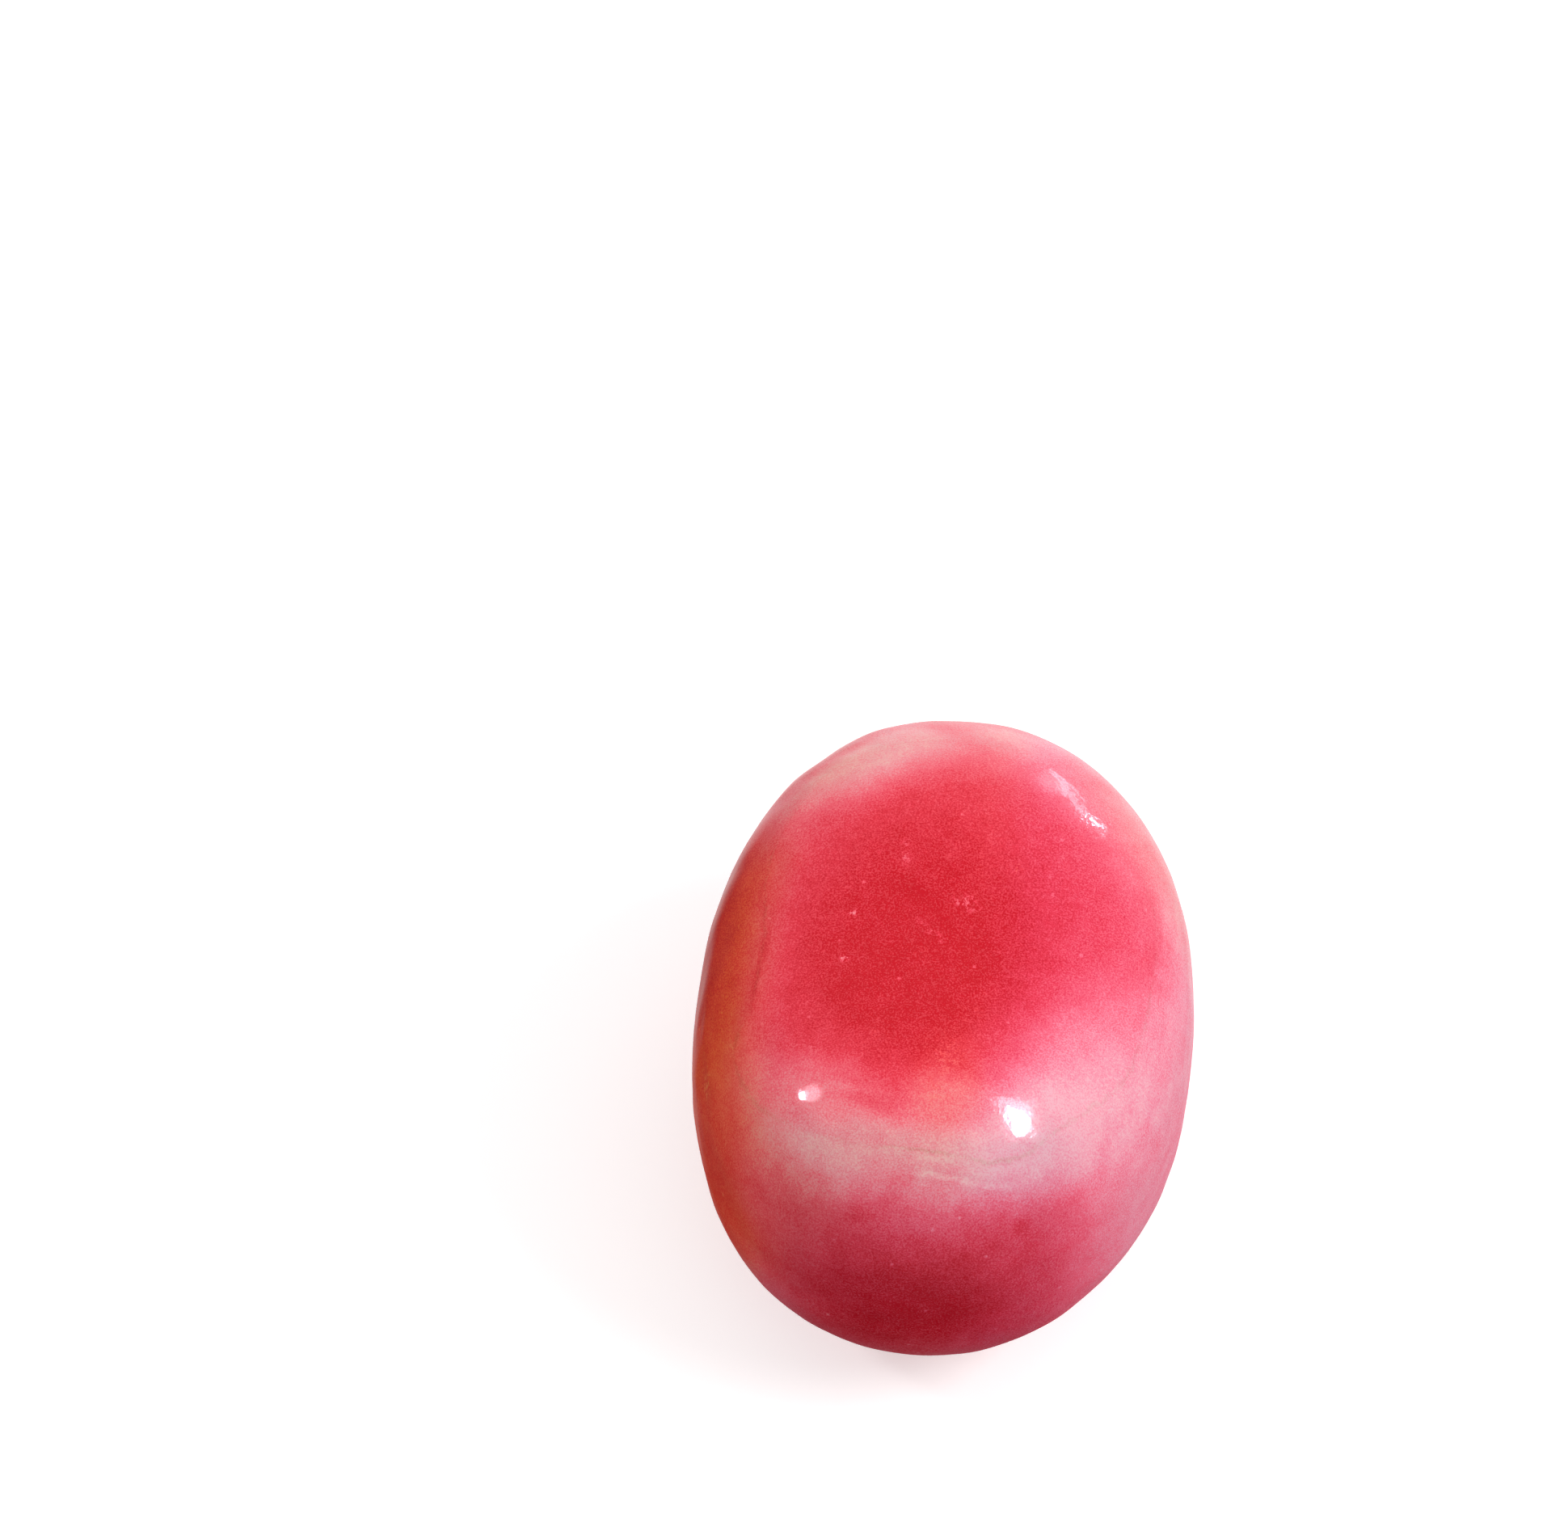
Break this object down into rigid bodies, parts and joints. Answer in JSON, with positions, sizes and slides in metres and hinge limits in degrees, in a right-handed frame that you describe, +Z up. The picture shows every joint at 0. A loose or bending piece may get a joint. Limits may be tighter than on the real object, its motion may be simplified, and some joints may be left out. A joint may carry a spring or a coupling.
{
  "type": "hard candy",
  "caption": "Loose bean-shaped sweet with a polished red and pink sugar shell, a shallow hollow along its back and a rounded belly with a small resting flat.",
  "frame": {"origin": "centre of the box round the sweet, on the surface it rests on", "axes": "+Y along the length towards the far end, +X across the width, +Z up from the belly to the hollowed back"},
  "size_m": [0.014, 0.0186, 0.0122],
  "materials": {
    "sugar_shell": "polished sugar shell, deep red in the hollow and worn to milky pink along its edges"
  },
  "bodies": {
    "root": {"candy": "sugar_shell"}
  },
  "joints": []
}
